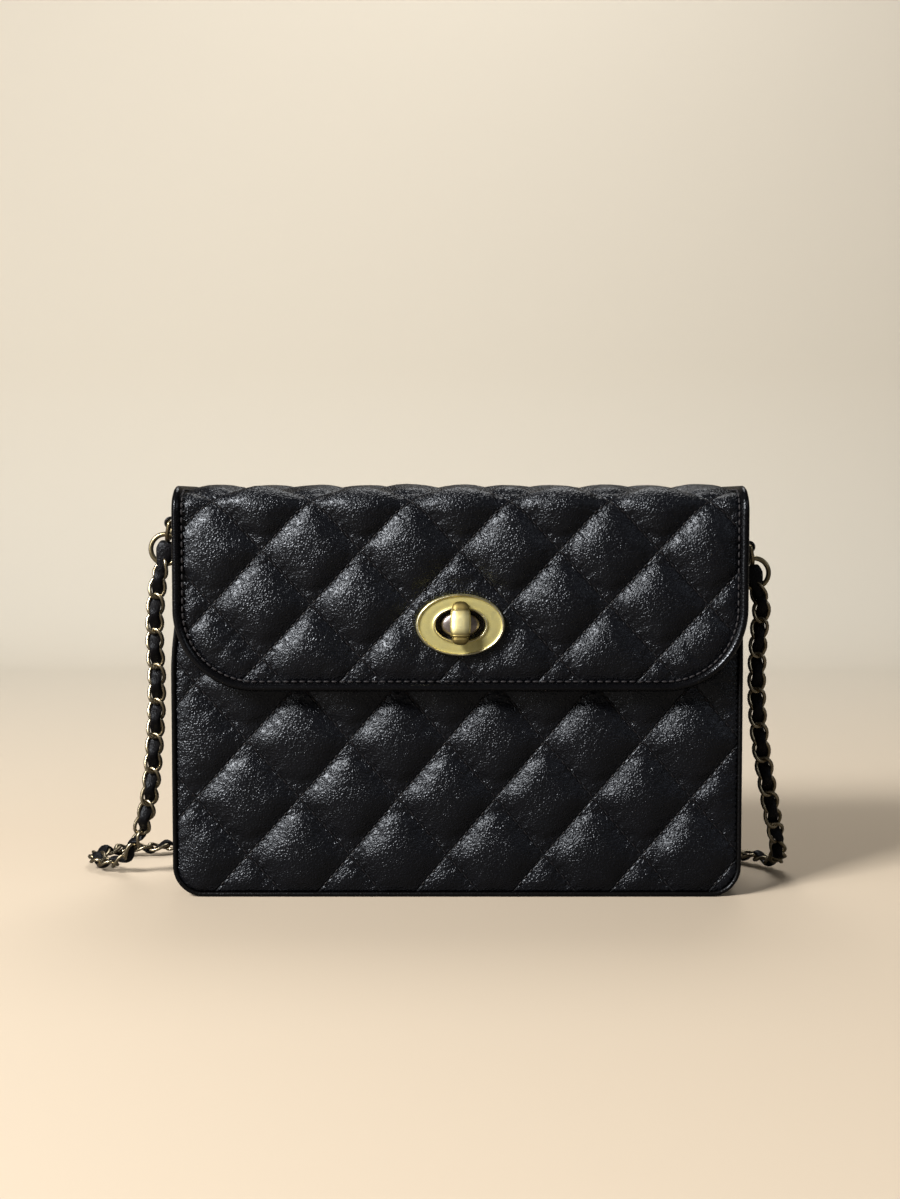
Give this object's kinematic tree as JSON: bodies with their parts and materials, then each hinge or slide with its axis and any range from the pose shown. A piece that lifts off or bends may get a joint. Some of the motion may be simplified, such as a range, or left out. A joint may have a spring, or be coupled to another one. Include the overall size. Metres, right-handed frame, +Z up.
{
  "type": "quilted flap bag",
  "caption": "Small quilted flap bag with a lined compartment, an oval turn lock on the flap and a chain strap hung from rings at its sides.",
  "frame": {"origin": "centre of the bottom of the bag's bounding box, measured without the strap", "axes": "+X to the bag's right as seen from the front, -Y out of its front, +Z up"},
  "size_m": [0.2938, 0.2041, 0.161],
  "materials": {
    "leather": "semi-gloss pebbled",
    "piping": "smooth semi-gloss",
    "lining": "matt woven",
    "board": "matt",
    "lock_brass": "brushed antique",
    "ring_brass": "antique",
    "steel": "plain",
    "strap": "antique chain with a leather ribbon"
  },
  "bodies": {
    "bag": {"front_panel": "leather", "back_panel": "leather", "gusset": "leather", "front_piping": "piping", "back_piping": "piping", "mouth_binding": "piping", "front_stiffener": "board", "back_stiffener": "board", "base_board": "board", "front_lining": "lining", "back_lining": "lining", "gusset_lining": "lining", "left_tab": "piping", "right_tab": "piping", "lock_base": "lock_brass", "lock_back_washer": "steel", "strap_left": "strap", "strap_hank": "strap", "strap_right": "strap"},
    "flap_top": {"flap_top_leather": "leather", "flap_top_lining": "lining", "flap_top_left_edge": "piping", "flap_top_right_edge": "piping"},
    "flap_front": {"flap_front_leather": "leather", "flap_front_lining": "lining", "flap_front_edge": "piping", "lock_plate": "lock_brass", "lock_plate_backing": "lock_brass"},
    "knob": {"turn_knob": "lock_brass", "knob_spindle": "steel", "spindle_clip": "steel"},
    "left_ring": {"left_d_ring": "ring_brass", "left_round_ring": "ring_brass"},
    "right_ring": {"right_d_ring": "ring_brass", "right_round_ring": "ring_brass"}
  },
  "joints": [
    {"name": "flap_swing", "type": "hinge", "parent": "bag", "child": "flap_top", "pos_m": [0, 0.0367, 0.153], "axis": [-1, 0, 0], "range_deg": [0, 120]},
    {"name": "flap_lift", "type": "hinge", "parent": "flap_top", "child": "flap_front", "pos_m": [0, -0.0295, 0.15], "axis": [-1, 0, 0], "range_deg": [0, 90]},
    {"name": "knob_turn", "type": "hinge", "parent": "bag", "child": "knob", "pos_m": [0, -0.0311, 0.108], "axis": [0, 1, 0], "range_deg": [-90, 90]},
    {"name": "left_ring_swing", "type": "hinge", "parent": "bag", "child": "left_ring", "pos_m": [-0.1165, 0.0077, 0.1466], "axis": [0, 1, 0], "range_deg": [0, 90]},
    {"name": "right_ring_swing", "type": "hinge", "parent": "bag", "child": "right_ring", "pos_m": [0.1165, 0.0077, 0.1369], "axis": [0, -1, 0], "range_deg": [0, 90]}
  ]
}
